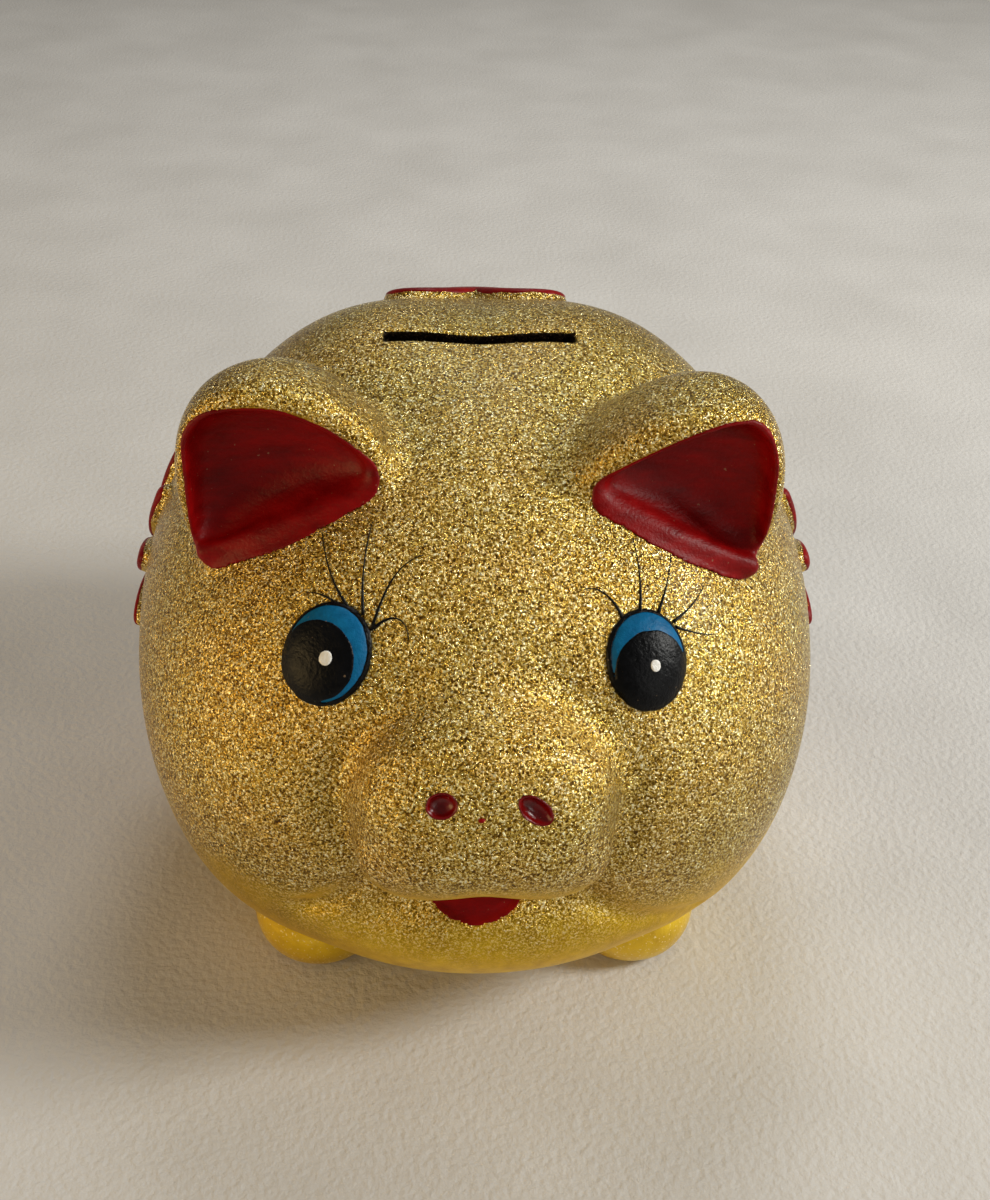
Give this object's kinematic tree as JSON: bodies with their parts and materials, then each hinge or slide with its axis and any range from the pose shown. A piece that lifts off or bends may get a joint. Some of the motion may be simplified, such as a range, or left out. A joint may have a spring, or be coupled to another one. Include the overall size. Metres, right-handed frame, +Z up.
{
  "type": "pig money box",
  "caption": "Round ceramic pig money box with a coin slot on its back, raised ears, painted face, flower reliefs and a pull-out rubber stopper in the belly.",
  "frame": {"origin": "on the standing surface, under the middle of the bounding box", "axes": "+Z up; the pig faces -Y, so +Y points to its tail; +X to the pig's own left side"},
  "size_m": [0.1396, 0.16, 0.1275],
  "materials": {
    "gold_glitter": "metallic gold glitter paint over fired clay",
    "ochre_gold": "satin ochre gold paint",
    "red_enamel": "brushed satin enamel",
    "blue_enamel": "satin enamel",
    "black_enamel": "gloss enamel",
    "white_enamel": "gloss enamel",
    "rubber": "matte moulded rubber"
  },
  "bodies": {
    "pig": {"body_shell": "gold_glitter", "front_left_foot": "ochre_gold", "front_right_foot": "ochre_gold", "left_ear": "gold_glitter", "left_ear_enamel": "red_enamel", "left_eye_boss": "gold_glitter", "left_eye_glint": "white_enamel", "left_flank_rosette": "gold_glitter", "left_flank_rosette_enamel": "red_enamel", "left_iris_enamel": "blue_enamel", "left_nostril_enamel": "red_enamel", "left_pupil_enamel": "black_enamel", "mouth_enamel": "red_enamel", "rear_left_foot": "ochre_gold", "rear_right_foot": "ochre_gold", "right_ear": "gold_glitter", "right_ear_enamel": "red_enamel", "right_eye_boss": "gold_glitter", "right_eye_glint": "white_enamel", "right_flank_rosette": "gold_glitter", "right_flank_rosette_enamel": "red_enamel", "right_iris_enamel": "blue_enamel", "right_nostril_enamel": "red_enamel", "right_pupil_enamel": "black_enamel", "rump_rosette": "gold_glitter", "rump_rosette_enamel": "red_enamel", "tail": "gold_glitter"},
    "stopper": {"stopper": "rubber"}
  },
  "joints": [
    {"name": "stopper_pull", "type": "slide", "parent": "pig", "child": "stopper", "axis": [0, 0, -1], "range_m": [0, 0.01]}
  ]
}
